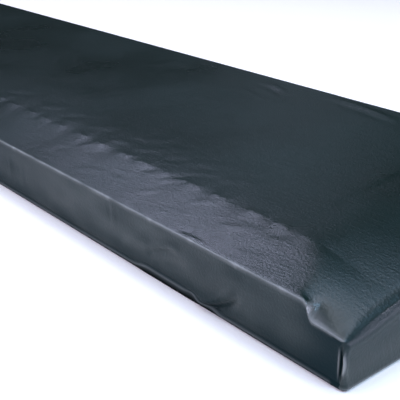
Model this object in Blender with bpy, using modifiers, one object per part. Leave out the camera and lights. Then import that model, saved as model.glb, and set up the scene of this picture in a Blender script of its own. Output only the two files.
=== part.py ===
"""Keyboard dust cover: one stretch cloth, sewn up at four boxed corners and drawn tight.

Along the front it has a crisp ridge, then an inclined band that ends in a row of small tents, then a
wide top that climbs to the rear edge. At both ends it drops over a low shoulder. Each corner is one
upright seam, and the hem is turned in underneath. One corner seam has pulled open.

Sizes are in millimetres and become metres in to_world. Every point is given by s, v and z: s runs
inward from the right end, v runs back from the front and z runs up from the table.
"""

import math
from collections import namedtuple

import bmesh
import bpy
from mathutils import Vector

MM = 0.001

# Plan of the cover
MODULE = 23.5
MODULES = 52
SHOULDER = 33.0
LENGTH = MODULES * MODULE + 2 * SHOULDER
DEPTH = 289.0
CLOTH = 1.4

# Heights of the top
RIDGE_HEIGHT = 50.6
BAND_DEPTH = 50.0
BAND_RISE = 12.0
REAR_HEIGHT = 80.0
TOP_SAG = 1.0

# The end's top edge climbs from the shoulder's front, steep at first
SHOULDER_HEIGHT = 38.0
END_SLOPE = 0.2128
END_EASING = (REAR_HEIGHT - SHOULDER_HEIGHT - END_SLOPE * DEPTH) / DEPTH**2

# Tents: their groups repeat every seven modules, and some stand off the module line
GROUP = 7
TENT_NUDGE = {2: -3.5, 3: 0.0, 4: 3.5, 6: -3.5, 0: 3.5}
TENT_HALF_WIDTH = 5.0
DIP_PER_WIDTH = 0.055
DIP_FADE = 22.0

# How the cloth falls from the ridge and the outermost tent to the end
STEP_FOOT = 30.8
STEP_FADE = 9.0

# Edges and corners
CREST_DROP = 1.8
CREST_INSET = 0.9
END_EDGE_DROP = 5.5
END_EDGE_RADIUS = 8.0
END_TOP_INSET = 2.8
SEAM_INSET = 4.6
SEAM_TOP_DROP = 1.6
SPREAD = 26.0

# Walls
HEM_TOP = 15.0
FRONT_LEAN = 1.5
END_LEAN = 0.6
END_HOLLOW = 1.5
HEM_FLARE = 8.5
REAR_LEAN = 1.2

# A wall's rows from the cut edge inside the hem up to the wall's top edge. Hem rows have a height,
# wall rows a share of the way from the hem's top to the wall's top edge.
WallRow = namedtuple("WallRow", "inward height share")
WALL_ROWS = (
    WallRow(inward=13.0, height=1.8, share=None),
    WallRow(inward=4.5, height=0.0, share=None),
    WallRow(inward=0.9, height=2.6, share=None),
    WallRow(inward=0.0, height=HEM_FLARE, share=None),
    WallRow(inward=0.0, height=HEM_TOP, share=None),
    WallRow(inward=0.0, height=None, share=0.34),
    WallRow(inward=0.0, height=None, share=0.67),
    WallRow(inward=0.0, height=None, share=1.0),
)
WALL = len(WALL_ROWS)

# How far each stretch of the front hem is lifted off the table
HemLift = namedtuple("HemLift", "s lift")
HEM_LIFTS = (
    HemLift(s=0.0, lift=0.6),
    HemLift(s=128.0, lift=0.9),
    HemLift(s=152.0, lift=4.4),
    HemLift(s=199.0, lift=4.7),
    HemLift(s=222.0, lift=1.1),
    HemLift(s=330.0, lift=0.6),
)

# Folds pressed out of the front wall (height over 0) or into it (under 0), each along a line
Fold = namedtuple("Fold", "s_from z_from s_to z_to width height")
FRONT_FOLDS = (
    Fold(s_from=140.0, z_from=5.0, s_to=101.0, z_to=26.0, width=7.0, height=1.4),
    Fold(s_from=130.0, z_from=1.0, s_to=92.0, z_to=24.0, width=8.0, height=-1.5),
    Fold(s_from=193.0, z_from=33.0, s_to=157.0, z_to=39.0, width=12.0, height=-1.1),
    Fold(s_from=244.0, z_from=50.0, s_to=244.0, z_to=28.0, width=6.0, height=0.9),
    Fold(s_from=412.0, z_from=36.0, s_to=415.0, z_to=14.0, width=5.0, height=0.9),
    Fold(s_from=396.0, z_from=38.0, s_to=396.0, z_to=14.0, width=5.0, height=0.9),
    Fold(s_from=610.0, z_from=40.0, s_to=575.0, z_to=14.0, width=9.0, height=-1.0),
    Fold(s_from=905.0, z_from=14.0, s_to=935.0, z_to=34.0, width=8.0, height=0.9),
    Fold(s_from=1105.0, z_from=44.0, s_to=1092.0, z_to=20.0, width=8.0, height=-0.9),
)

# Long shallow creases of the top near its rear edge
TOP_FOLDS = (
    Fold(s_from=352.0, z_from=273.0, s_to=298.0, z_to=255.0, width=8.0, height=1.0),
    Fold(s_from=270.0, z_from=278.0, s_to=164.0, z_to=264.0, width=9.0, height=0.9),
    Fold(s_from=500.0, z_from=224.0, s_to=476.0, z_to=264.0, width=13.0, height=1.1),
    Fold(s_from=940.0, z_from=262.0, s_to=880.0, z_to=240.0, width=11.0, height=0.9),
)

# The seam that pulled open: its wall rows, how far in from the end each lip lies there, and how much
# of the front wall's lean the end's lip keeps
OPEN_ROWS = (4, 5, 6)
LIP_INSET = {4: 5.2, 5: 5.6, 6: 5.3}
END_LIP_INSET = {4: 1.2, 5: 0.2, 6: 0.7}
LIP_FORWARD = 0.25

# Rows of the top, by distance back from the front, and columns, by distance in from an end
FRONT_ROWS_BACK = (CREST_INSET, 5.0, 16.0, 33.0, BAND_DEPTH, 60.0, 84.0)
REAR_ROWS_BACK = (138.0, 200.0, 244.0, 262.0, 275.0, 284.5, DEPTH - CREST_INSET)
REAR_COLUMN_STEP = 38.0
END_COLUMNS_IN = (7.0, 14.0, 22.0, STEP_FOOT, 33.4, 44.0, 57.0)


def clamp(value):
    return min(max(value, 0.0), 1.0)


def eased(value):
    t = clamp(value)
    return t * t * (3.0 - 2.0 * t)


def to_world(s, v, z):
    return Vector((LENGTH / 2 - s, v - DEPTH / 2, z)) * MM


def tent_centres():
    """The tents' places from the right end, in groups of three and two."""
    lines = [line for line in range(1, MODULES) if line % GROUP in TENT_NUDGE]
    return [SHOULDER + MODULE * line + TENT_NUDGE[line % GROUP] for line in lines]


TENTS = tent_centres()
TENT_GAPS = list(zip(TENTS[:-1], TENTS[1:]))


def dip_between_tents(s):
    """How far the band's rear edge sags at s, deeper where the tents stand further apart."""
    for near, far in TENT_GAPS:
        start, end = near + TENT_HALF_WIDTH, far - TENT_HALF_WIDTH
        if start < s < end:
            share = (s - start) / (end - start)
            return DIP_PER_WIDTH * (end - start) * math.sin(math.pi * share)
    return 0.0


def fold_relief(folds, s, along):
    """Sum of the folds' heights at a point of a wall or of the top."""
    total = 0.0
    for fold in folds:
        ds, dz = fold.s_to - fold.s_from, fold.z_to - fold.z_from
        length = math.hypot(ds, dz)
        share = ((s - fold.s_from) * ds + (along - fold.z_from) * dz) / length**2
        off = ((s - fold.s_from) * dz - (along - fold.z_from) * ds) / length
        past = max(-share, share - 1.0, 0.0) * length
        total += fold.height * math.exp(-((off / fold.width) ** 2) - (past / fold.width) ** 2)
    return total


def middle_height(s, v):
    """Height of the band and the top between the two ends."""
    if v <= BAND_DEPTH:
        share = v / BAND_DEPTH
        return RIDGE_HEIGHT + BAND_RISE * share - dip_between_tents(s) * share**2
    share = (v - BAND_DEPTH) / (DEPTH - BAND_DEPTH)
    crest = RIDGE_HEIGHT + BAND_RISE
    dip = dip_between_tents(s) * math.exp(-(v - BAND_DEPTH) / DIP_FADE)
    return crest + (REAR_HEIGHT - crest) * share - TOP_SAG * math.sin(math.pi * share) - dip


def end_height(v):
    return SHOULDER_HEIGHT + END_SLOPE * v + END_EASING * v * v


def rise_from_end(inward, v, first_tent):
    """0 at the end's top edge and 1 where the cloth reaches the ridge or the tents."""
    start = STEP_FOOT * math.exp(-((v / STEP_FADE) ** 2))
    reach = SHOULDER + (first_tent - SHOULDER) * clamp(v / BAND_DEPTH)
    share = clamp((inward - start) / (reach - start))
    return (share + eased(share)) / 2


def top_height(s, v):
    """Height of the cloth over the plan, but for the rounding of the end's edge."""
    right = rise_from_end(s, v, TENTS[0] - TENT_HALF_WIDTH)
    left = rise_from_end(LENGTH - s, v, LENGTH - TENTS[-1] - TENT_HALF_WIDTH)
    low = end_height(v)
    return low + (middle_height(s, v) - low) * right * left + fold_relief(TOP_FOLDS, s, v)


def top_point(s, v):
    inward = min(s, LENGTH - s)
    short = max(END_EDGE_RADIUS - inward, 0.0)
    drop = END_EDGE_RADIUS - math.sqrt(END_EDGE_RADIUS**2 - short**2)
    return s, v, top_height(s, v) - drop


def hem_lift(s):
    """Height of the front hem's fold over the table, read from the table of lifts."""
    for here, after in zip(HEM_LIFTS[:-1], HEM_LIFTS[1:]):
        if s <= after.s:
            return here.lift + (after.lift - here.lift) * eased((s - here.s) / (after.s - here.s))
    last = HEM_LIFTS[-1]
    return last.lift * (1.0 - eased((s - last.s) / (LENGTH - SHOULDER - last.s)))


def wall_height(row, lift, edge):
    """Height of a wall row over the table, under a top edge that is edge high."""
    if row.share is None:
        return row.height + lift * (1.0 - row.height / edge)
    low = HEM_TOP + lift * (1.0 - HEM_TOP / edge)
    return low + (edge - low) * row.share


def corner_shift(distance, row):
    """How far a row's point moves away from the corner, so that the turned-in hem is mitred."""
    return max(row.inward - SEAM_INSET, 0.0) * math.exp(-max(distance, 0.0) / SPREAD)


def front_wall_point(s, index):
    row = WALL_ROWS[index]
    edge = top_height(s, CREST_INSET) - CREST_DROP
    z = wall_height(row, hem_lift(s), edge)
    v = row.inward + FRONT_LEAN * clamp(1.0 - z / edge)
    if index > 1:
        v = max(v - fold_relief(FRONT_FOLDS, s, z), 0.0)
    near = corner_shift(s - SEAM_INSET, row)
    far = corner_shift(LENGTH - SEAM_INSET - s, row)
    return s + near - far, v, z


def rear_wall_point(s, index):
    row = WALL_ROWS[index]
    edge = REAR_HEIGHT - CREST_DROP
    z = wall_height(row, 0.0, edge)
    v = DEPTH - row.inward - REAR_LEAN * clamp(4.0 * (z / edge) * (1.0 - z / edge))
    near = corner_shift(s - SEAM_INSET, row)
    far = corner_shift(LENGTH - SEAM_INSET - s, row)
    return s + near - far, v, z


def end_wall_point(v, index):
    """A point of the right end's wall between its corners, by its distance back from the front."""
    row = WALL_ROWS[index]
    edge = end_height(v) - END_EDGE_DROP
    z = wall_height(row, 0.0, edge)
    above = clamp((z - HEM_FLARE) / (edge - HEM_FLARE))
    inset = row.inward + END_LEAN * above + END_HOLLOW * math.sin(math.pi * above)
    front = corner_shift(v, row) + min(row.inward, SEAM_INSET) * math.exp(-v / SPREAD)
    rear = corner_shift(DEPTH - v, row) + min(row.inward, SEAM_INSET) * math.exp(-(DEPTH - v) / SPREAD)
    return inset, v + front - rear, z


def add_patch(bm, columns, rows, place):
    """A grid of cloth whose point in column i and row j is put at place(i, j)."""
    made = bmesh.ops.create_grid(bm, x_segments=columns - 1, y_segments=rows - 1, size=1.0)
    for vert in made["verts"]:
        i = round((vert.co.x + 1.0) / 2.0 * (columns - 1))
        j = round((vert.co.y + 1.0) / 2.0 * (rows - 1))
        vert.co = to_world(*place(i, j))


def front_columns():
    """Columns through every tent, every gap and the folds at both ends."""
    gaps = [(near + far) / 2 for near, far in TENT_GAPS]
    right = [END_TOP_INSET, *END_COLUMNS_IN]
    left = [LENGTH - s for s in right]
    return sorted(right + left + TENTS + gaps)


def rear_columns():
    inner = END_COLUMNS_IN[-1]
    count = round((LENGTH - 2 * inner) / REAR_COLUMN_STEP)
    middle = [inner + (LENGTH - 2 * inner) * i / count for i in range(count + 1)]
    ends = [END_TOP_INSET, END_COLUMNS_IN[0], STEP_FOOT]
    return ends + middle + [LENGTH - s for s in reversed(ends)]


def seam_column(s):
    """Where a column stands on the walls: the outermost ones are the corner seams."""
    if s == END_TOP_INSET:
        return SEAM_INSET
    if s == LENGTH - END_TOP_INSET:
        return LENGTH - SEAM_INSET
    return s


def corner_top(s, v):
    """The top of a corner seam, where three walls of cloth meet."""
    return s, v, top_height(s, v) - SEAM_TOP_DROP


def front_point(columns, i, j):
    s = columns[i]
    at_end = i in (0, len(columns) - 1)
    if j < WALL:
        point = front_wall_point(seam_column(s), j)
        if i == 0 and j in OPEN_ROWS:
            point = (LIP_INSET[j], point[1], point[2])
        return point
    if at_end and j == WALL:
        return corner_top(seam_column(s), CREST_INSET)
    return top_point(s, FRONT_ROWS_BACK[j - WALL])


def rear_point(columns, i, j):
    s = columns[i]
    last = len(REAR_ROWS_BACK) - 1
    if j > last:
        return rear_wall_point(seam_column(s), WALL - 1 - (j - last - 1))
    if i in (0, len(columns) - 1) and j == last:
        return corner_top(seam_column(s), REAR_ROWS_BACK[last])
    return top_point(s, REAR_ROWS_BACK[j])


def end_point(columns, i, j, right):
    """A point of an end's wall: its first and last columns are the corner seams."""
    front, rear = columns
    outer = 0 if right else -1
    backs = FRONT_ROWS_BACK + REAR_ROWS_BACK
    if i == 0 and right and j in OPEN_ROWS:
        _, v, z = front_point(front, 0, j)
        return END_LIP_INSET[j], LIP_FORWARD * v, z
    if i == 0:
        return front_point(front, outer % len(front), j)
    if i == len(backs) - 1:
        return rear_point(rear, outer % len(rear), len(REAR_ROWS_BACK) - 1 + WALL - j)
    if j == WALL:
        return top_point(front[outer], backs[i])
    inset, v, z = end_wall_point(backs[i], j)
    return (inset if right else LENGTH - inset), v, z


def cloth_sheet():
    """The whole cloth as an open sheet: front and rear zones, the strip between them, and two ends."""
    bm = bmesh.new()
    front, rear = front_columns(), rear_columns()
    front_rows = WALL + len(FRONT_ROWS_BACK)
    rear_rows = WALL + len(REAR_ROWS_BACK)
    add_patch(bm, len(front), front_rows, lambda i, j: front_point(front, i, j))
    add_patch(bm, len(rear), rear_rows, lambda i, j: rear_point(rear, i, j))
    join_zones(bm)
    both = (front, rear)
    end_columns = len(FRONT_ROWS_BACK + REAR_ROWS_BACK)
    for right in (True, False):
        add_patch(bm, end_columns, WALL + 1, lambda i, j, right=right: end_point(both, i, j, right))
    bmesh.ops.remove_doubles(bm, verts=bm.verts, dist=0.02 * MM)
    bmesh.ops.recalc_face_normals(bm, faces=bm.faces)
    highest = max(bm.faces, key=lambda face: face.calc_center_median().z)
    if highest.normal.z < 0:
        bmesh.ops.reverse_faces(bm, faces=bm.faces)
    return bm


def join_zones(bm):
    """Bridges the front zone's rear edge to the rear zone's front edge."""
    edges = []
    for back in (FRONT_ROWS_BACK[-1], REAR_ROWS_BACK[0]):
        line = to_world(0.0, back, 0.0).y
        on_line = [e for e in bm.edges if all(abs(v.co.y - line) < 0.1 * MM for v in e.verts)]
        edges += [e for e in on_line if e.is_boundary and e.verts[0].co.z > HEM_TOP * MM]
    bmesh.ops.bridge_loops(bm, edges=edges)


def cloth_material():
    material = bpy.data.materials.new("dark_stretch_cloth")
    material.use_nodes = True
    shader = material.node_tree.nodes["Principled BSDF"]
    shader.inputs["Base Color"].default_value = (0.045, 0.062, 0.078, 1.0)
    shader.inputs["Roughness"].default_value = 0.5
    shader.inputs["Metallic"].default_value = 0.0
    return material


def clear_scene():
    for old in list(bpy.data.objects):
        bpy.data.objects.remove(old, do_unlink=True)


def main():
    clear_scene()
    collection = bpy.data.collections.new("keyboard_dust_cover")
    bpy.context.scene.collection.children.link(collection)
    bm = cloth_sheet()
    mesh = bpy.data.meshes.new("cover_cloth")
    bm.to_mesh(mesh)
    bm.free()
    mesh.shade_smooth()
    mesh.set_sharp_from_angle(angle=math.radians(40.0))
    mesh.materials.append(cloth_material())
    cover = bpy.data.objects.new("cover_cloth", mesh)
    collection.objects.link(cover)
    wall = cover.modifiers.new("Cloth thickness", "SOLIDIFY")
    wall.thickness = CLOTH * MM
    wall.offset = -1.0
    wall.use_even_offset = False


main()
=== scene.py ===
# Looks of the stretch dust cover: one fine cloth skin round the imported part, then floor, lights and camera
import math
from collections import namedtuple

import bmesh
import bpy
from mathutils import Matrix, Vector, noise


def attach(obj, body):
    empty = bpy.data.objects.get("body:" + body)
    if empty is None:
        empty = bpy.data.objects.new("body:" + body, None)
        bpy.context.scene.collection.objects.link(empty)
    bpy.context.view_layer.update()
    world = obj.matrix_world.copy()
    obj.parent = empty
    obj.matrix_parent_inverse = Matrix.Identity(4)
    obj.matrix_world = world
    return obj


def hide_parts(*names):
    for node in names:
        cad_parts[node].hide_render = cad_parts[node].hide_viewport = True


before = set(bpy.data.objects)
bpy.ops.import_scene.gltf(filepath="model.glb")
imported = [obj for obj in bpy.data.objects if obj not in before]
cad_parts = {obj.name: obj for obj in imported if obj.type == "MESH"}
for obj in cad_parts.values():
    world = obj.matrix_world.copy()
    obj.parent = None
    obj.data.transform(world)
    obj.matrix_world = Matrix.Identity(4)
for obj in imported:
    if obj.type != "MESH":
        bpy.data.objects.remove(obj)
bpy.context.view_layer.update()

print("packed cloth loaded")

millimetre = 0.001

# Places on the cover, in millimetres: s runs inward from the right end, v runs back from the front, z is up
coverValues = {
    "modulePitch": 23.5,        # spacing of the lines that the tents stand on
    "modules": 52,
    "shoulder": 33.0,           # flat stretch between each end and the ridge
    "depth": 289.0,
    "thickness": 1.0,           # of the cloth as it shows at its edges
    "ridgeHeight": 50.6,
    "ridgeRadius": 2.0,
    "steepestFront": 4.0,       # slope of the top at which the ridge's rounding stops following it
    "ridgeWobble": 0.22,
    "wobbleLength": 9.0,
    "wobbleReach": 5.0,         # how far back the wobble is felt
    "bandDepth": 50.0,          # from the ridge back to the tents
    "bandRise": 12.0,
    "rearHeight": 80.0,
    "rearRadius": 1.6,
    "steepestRear": 0.4,
    "topSag": 1.0,
    "tentHalfWidth": 5.0,
    "tentSoftness": 0.06,       # how soft the fold is on a tent itself
    "dipPerWidth": 0.022,       # sag between two tents for each millimetre between them
    "tentCorner": 4.2,          # from a tent's middle to each of its front corners
    "tentPeak": 0.44,           # how far those corners push the cloth up
    "tentPeakSize": (3.0, 3.6),
    "tentPeakReach": (18.0, 14.0),
    "tentPeakBack": 0.6,        # how far behind the fold the corners stand
    "tentFade": 4.0,
    "tentSpring": 0.7,          # how far the top keeps rising steeply just behind the tents
    "springReach": 22.0,
    "shoulderHeight": 38.0,
    "shoulderPull": 0.85,       # rise of the shoulder's front facet for each millimetre back
    "stepWidth": 1.6,           # of the sharp step down from the ridge's end to the shoulder
    "stepPull": 0.15,           # how much steeper the facet gets next to the step
    "stepPullReach": 8.0,
    "stepFoot": 7.5,            # length over which the shoulder's front edge curves up to the step
    "stepCurve": 13.0,
    "stepBend": 2.3,            # how late in that length it does so
    "facetSoftness": 0.60,      # of the fold behind the facet, next to the step
    "facetSoftening": 0.35,     # how much softer it is away from the step
    "facetReach": 14.0,
    "rampSag": 0.95,            # of the slope behind the facet
    "rampSagReach": 10.0,
    "rampSoftness": 0.8,        # of the fold where the band and the top fall away to the ends
    "crispSoftness": 0.15,      # of the same fold at the ridge
    "crispReach": 9.0,
    "rampOverlap": 30.0,        # how far past the outermost tents that fold is still worked out
    "ridgeEndTwist": 9.0,       # how far from the ridge's end the band starts to fall, just behind it
    "twistDepth": 5.5,
    "bandTurn": 2.6,            # how late the start of the fall turns in to the tents
    "endSlope": 0.2128,
    "endRadius": 10.5,
    "cornerRadius": 4.4,        # of the end's top edge where it reaches a corner
    "cornerReach": 11.0,
    "endTopInset": 2.8,
    "endHollow": 3.0,           # how far an end wall is drawn in above its hem, which flares
    "endHollowFrom": 3.0,
    "endHollowBend": 1.35,      # how high its deepest place is
    "endGroove": 0.35,          # depth of the groove over an end's hem, as a share of a long wall's
    "edgeColumns": 12.0,        # the columns of a long wall stand further in up to this far from an end
    "seamInset": 4.6,
    "cornerTurn": 4.2,          # depth over which an end wall turns round to its corner seam
    "seamSpread": 26.0,
    "seamPucker": 0.22,
    "puckerTurn": 1.15,         # radians of the gathers' wave for each millimetre up the seam
    "puckerDrift": (0.9, 0.31), # how far their spacing wanders, and how fast
    "puckerReach": 3.5,
    "endPucker": 0.7,           # share of it on an end wall
    "slitFoot": 5.5,            # lowest point of the parted front seam
    "slitLength": 26.5,
    "slitShape": (1.25, 0.9),   # how high its widest place is, and how full it is to both sides
    "hemTop": 15.0,
    "liftForward": 0.1,         # how far a lifted hem's inner part comes forward, as a share of the lift
    "frontLean": 1.5,
    "leanReach": 9.0,
    "rearLean": 1.2,
    "broadWave": 0.30,          # height of the slow unevenness of the whole cloth
    "broadWaveSize": (62.0, 38.0),
    "smallWave": 0.10,
    "smallWaveSize": (15.0, 12.0),
    "topFade": 30.0,            # it fades out this near to the top's edges
    "hemFade": (6.0, 10.0),     # and from this height down, over this length, above a hem
    "edgeFade": 6.0,            # and this near to a long wall's upper edge
    "rimFade": 8.0,             # and this near to an end wall's rim
    "smoothRise": 11.0,         # the front's smooth upper edge rises by this much from the shoulder
    "smoothRiseOver": (14.0, 30.0),
    "proud": 2.4,               # how far a fold may stand out from a long wall
    "creaseReach": 3.2,         # in the crease's own widths, as is the place of its dips
    "creaseDip": 0.3,           # the faint dip on each side of its fold, as a share of its height
    "creaseDipAt": 1.7,
    "creaseTaper": 0.7,
    "weld": 0.02,
}
waveSeeds = {"top": 3.0, "front": 11.0, "rear": 19.0, "end": 27.0, "small": 7.3, "patches": 8.0,
             "wobble": (1.7, 5.1), "highlight": (4.0, 2.0)}
coverLength = coverValues["modulePitch"] * coverValues["modules"] + 2 * coverValues["shoulder"]
endEasing = (coverValues["rearHeight"] - coverValues["shoulderHeight"]
             - coverValues["endSlope"] * coverValues["depth"]) / coverValues["depth"] ** 2

# The tents stand in groups of three and two; some are off their line by a few millimetres
tentNudge = {2: -3.5, 3: 0.0, 4: 3.5, 6: -3.5, 0: 3.5}
tents = [coverValues["shoulder"] + coverValues["modulePitch"] * line + tentNudge[line % 7]
         for line in range(1, coverValues["modules"]) if line % 7 in tentNudge]
tentGaps = list(zip(tents[:-1], tents[1:]))
# How far in from each end the outermost tents stand
rightTent = tents[0] - coverValues["tentHalfWidth"]
leftTent = coverLength - tents[-1] - coverValues["tentHalfWidth"]

# Hem section from the cut edge inside up to the plain wall
HemRow = namedtuple("HemRow", "inward height")
hemRows = [
    HemRow(13.0, 2.2), HemRow(9.5, 0.9), HemRow(6.5, 0.2), HemRow(4.2, 0.0), HemRow(2.4, 0.05),
    HemRow(1.1, 0.5), HemRow(0.4, 1.4), HemRow(0.25, 2.5), HemRow(0.75, 3.6), HemRow(1.05, 4.5),
    HemRow(0.7, 5.5), HemRow(0.2, 7.0), HemRow(0.0, 9.0), HemRow(0.0, 12.0), HemRow(0.0, 15.0),
]
turnedRows = 6                  # the first hem rows, which lie turned in and get a near-black painted shade
grooveRows = range(7, 12)       # those of the groove over the hem's fold
# Wall rows: share of the height on the long walls, share and turn of the top edge on the end walls
WallRow = namedtuple("WallRow", "share endShare turn")
wallRows = [
    WallRow(0.09, 0.11, None), WallRow(0.18, 0.22, None), WallRow(0.27, 0.34, None),
    WallRow(0.36, 0.46, None), WallRow(0.45, 0.58, None), WallRow(0.54, 0.70, None),
    WallRow(0.63, 0.83, None), WallRow(0.71, 1.0, None), WallRow(0.79, None, 80.0),
    WallRow(0.86, None, 70.0), WallRow(0.93, None, 60.0), WallRow(1.0, None, 50.0),
]
wallCount = len(hemRows) + len(wallRows)

# How far the front hem is lifted off the table along its length
HemLift = namedtuple("HemLift", "s lift")
hemLifts = [
    HemLift(0.0, 0.0), HemLift(16.0, 0.5), HemLift(128.0, 0.9), HemLift(152.0, 4.4),
    HemLift(199.0, 4.7), HemLift(222.0, 1.1), HemLift(330.0, 0.6),
]

# A crease runs from one place to another with a sideways bend; a height under 0 is a trough.
# The second place of a crease is v on the top and z on a wall.
Crease = namedtuple("Crease", "fromS fromA toS toA bend width height")
frontCreases = [
    Crease(142.0, 4.0, 99.0, 27.0, -3.0, 3.4, 2.4),
    Crease(134.0, 1.0, 94.0, 25.5, -3.0, 3.2, -2.9),
    Crease(155.0, 4.2, 141.0, 6.6, 0.0, 2.6, -1.5),
    Crease(199.0, 19.0, 163.0, 35.0, 2.0, 2.8, -2.5),
    Crease(194.0, 23.5, 158.0, 39.5, 2.0, 4.0, 1.9),
    Crease(176.0, 20.0, 152.0, 27.0, 0.0, 2.8, -1.2),
    Crease(126.0, 30.0, 92.0, 41.0, 2.0, 5.0, 1.1),
    Crease(232.0, 14.0, 196.0, 30.0, 2.5, 5.0, 1.0),
    Crease(84.0, 12.0, 58.0, 26.0, -2.0, 6.0, 0.6),
    Crease(244.0, 50.0, 243.0, 26.0, 0.8, 1.8, 0.42),
    Crease(248.5, 47.0, 247.5, 30.0, 0.0, 1.8, -0.25),
    Crease(414.5, 38.0, 419.0, 15.0, 0.6, 2.0, 0.55),
    Crease(410.0, 40.0, 413.0, 14.0, 0.6, 1.8, -0.40),
    Crease(403.5, 38.0, 409.0, 12.5, -0.6, 2.0, 0.60),
    Crease(399.5, 38.0, 401.0, 13.0, 0.4, 1.8, -0.40),
    Crease(395.0, 40.0, 396.0, 13.0, 0.5, 1.9, 0.50),
    Crease(347.0, 12.0, 318.0, 30.0, 2.0, 7.0, 0.35),
    Crease(610.0, 40.0, 575.0, 14.0, 3.0, 6.0, -0.8),
    Crease(623.0, 42.0, 590.0, 15.0, 3.0, 5.0, 0.5),
    Crease(742.0, 47.0, 738.0, 20.0, 1.0, 2.4, 0.4),
    Crease(905.0, 12.0, 938.0, 36.0, -3.0, 5.0, 0.8),
    Crease(914.0, 9.0, 948.0, 33.0, -3.0, 4.5, -0.7),
    Crease(1105.0, 46.0, 1092.0, 18.0, 1.5, 5.0, -0.6),
    Crease(1113.0, 46.0, 1101.0, 20.0, 1.5, 4.0, 0.45),
    Crease(1236.0, 30.0, 1262.0, 14.0, 2.0, 5.0, 0.5),
]
topCreases = [
    # The band between the ridge and the tents
    Crease(164.5, 2.6, 151.0, 8.6, 0.6, 1.8, -0.26),
    Crease(160.0, 1.2, 133.0, 3.4, 0.5, 1.8, 0.40),
    Crease(282.0, 27.0, 256.0, 29.5, -1.5, 2.0, -0.42),
    Crease(236.0, 19.0, 221.0, 33.0, -3.0, 2.2, 0.42),
    Crease(232.0, 38.0, 208.0, 54.0, 2.0, 2.4, 0.46),
    Crease(318.0, 8.0, 284.0, 21.0, 3.0, 3.0, 0.32),
    Crease(262.0, 40.0, 236.0, 52.0, 2.0, 3.0, -0.36),
    Crease(142.0, 22.0, 108.0, 36.0, 3.0, 4.0, 0.30),
    Crease(186.0, 30.0, 160.0, 45.0, 2.5, 3.0, 0.34),
    Crease(104.0, 34.0, 82.0, 46.0, 2.0, 3.0, -0.26),
    Crease(350.0, 34.0, 328.0, 50.0, 2.0, 2.6, 0.36),
    Crease(405.0, 0.8, 398.0, 11.0, 1.0, 1.7, -0.60),
    Crease(398.0, 2.0, 386.0, 19.0, 2.0, 1.9, 0.45),
    Crease(392.0, 23.0, 378.0, 26.5, 1.0, 2.0, -0.50),
    Crease(382.0, 12.0, 366.0, 27.0, -2.0, 2.2, 0.40),
    Crease(364.0, 18.0, 352.0, 28.5, 1.5, 2.0, -0.45),
    Crease(414.0, 14.0, 404.0, 27.0, 1.5, 2.2, -0.35),
    Crease(372.0, 4.0, 350.0, 10.0, 1.0, 2.4, 0.25),
    Crease(48.0, 4.5, 44.5, 12.5, -2.0, 1.3, 0.16),
    Crease(45.0, 12.4, 37.0, 9.0, -1.2, 1.3, 0.18),
    Crease(39.0, 3.0, 27.0, 10.0, 0.8, 2.4, -0.30),
    Crease(115.0, 14.0, 84.0, 24.0, 2.0, 6.0, -0.18),
    Crease(205.0, 8.0, 172.0, 17.0, 2.0, 5.0, 0.16),
    Crease(335.0, 30.0, 306.0, 42.0, 3.0, 5.0, -0.20),
    # Round the corner of the end
    Crease(6.0, 0.5, 8.2, 15.0, 0.5, 2.2, -0.35),
    # Drag wrinkles behind the tents
    Crease(334.0, 60.0, 300.0, 72.0, 2.0, 3.0, 0.55),
    Crease(322.0, 67.0, 286.0, 82.0, 2.0, 3.2, -0.52),
    Crease(300.0, 62.0, 268.0, 76.0, 2.0, 3.0, 0.58),
    Crease(290.0, 74.0, 252.0, 92.0, 3.0, 3.6, 0.50),
    Crease(262.0, 64.0, 232.0, 78.0, 2.0, 3.0, -0.52),
    Crease(246.0, 72.0, 206.0, 90.0, 2.0, 3.6, 0.54),
    Crease(226.0, 62.0, 196.0, 74.0, 2.0, 3.0, 0.48),
    Crease(380.0, 66.0, 342.0, 84.0, 3.0, 3.8, 0.50),
    Crease(424.0, 62.0, 392.0, 78.0, 3.0, 3.8, -0.50),
    Crease(196.0, 70.0, 158.0, 84.0, 2.0, 4.0, 0.42),
    Crease(470.0, 64.0, 436.0, 82.0, 3.0, 5.0, 0.50),
    Crease(540.0, 62.0, 500.0, 80.0, 3.0, 5.0, -0.50),
    # The wide top
    Crease(349.0, 272.0, 300.0, 256.0, 2.0, 3.2, 1.15),
    Crease(343.0, 263.0, 296.0, 250.0, 2.0, 5.0, -0.70),
    Crease(348.0, 240.5, 308.0, 229.0, 1.5, 3.2, 0.55),
    Crease(264.0, 277.5, 166.0, 265.5, 3.5, 3.8, 1.0),
    Crease(250.0, 268.0, 176.0, 258.0, 3.0, 5.0, -0.35),
    Crease(492.0, 231.0, 476.0, 275.0, 4.0, 8.0, 0.55),
    Crease(469.0, 233.0, 440.0, 260.0, 4.0, 8.0, -0.45),
    Crease(912.0, 267.0, 900.0, 281.0, 1.0, 4.0, 0.40),
    Crease(828.0, 277.0, 786.0, 268.0, 2.0, 3.6, 0.45),
    Crease(725.0, 154.0, 655.0, 149.5, 5.0, 5.0, 0.30),
    Crease(712.0, 166.0, 648.0, 161.0, 5.0, 6.0, -0.25),
    Crease(120.0, 212.0, 52.0, 196.0, 4.0, 8.0, 0.25),
    Crease(205.0, 118.0, 150.0, 104.0, 4.0, 7.0, -0.22),
    Crease(1010.0, 120.0, 930.0, 150.0, 6.0, 9.0, 0.35),
    Crease(1120.0, 236.0, 1060.0, 262.0, 4.0, 6.0, 0.50),
    Crease(1196.0, 96.0, 1150.0, 84.0, 3.0, 5.0, -0.35),
    Crease(940.0, 262.0, 880.0, 240.0, 3.0, 8.0, 0.45),
]
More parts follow.
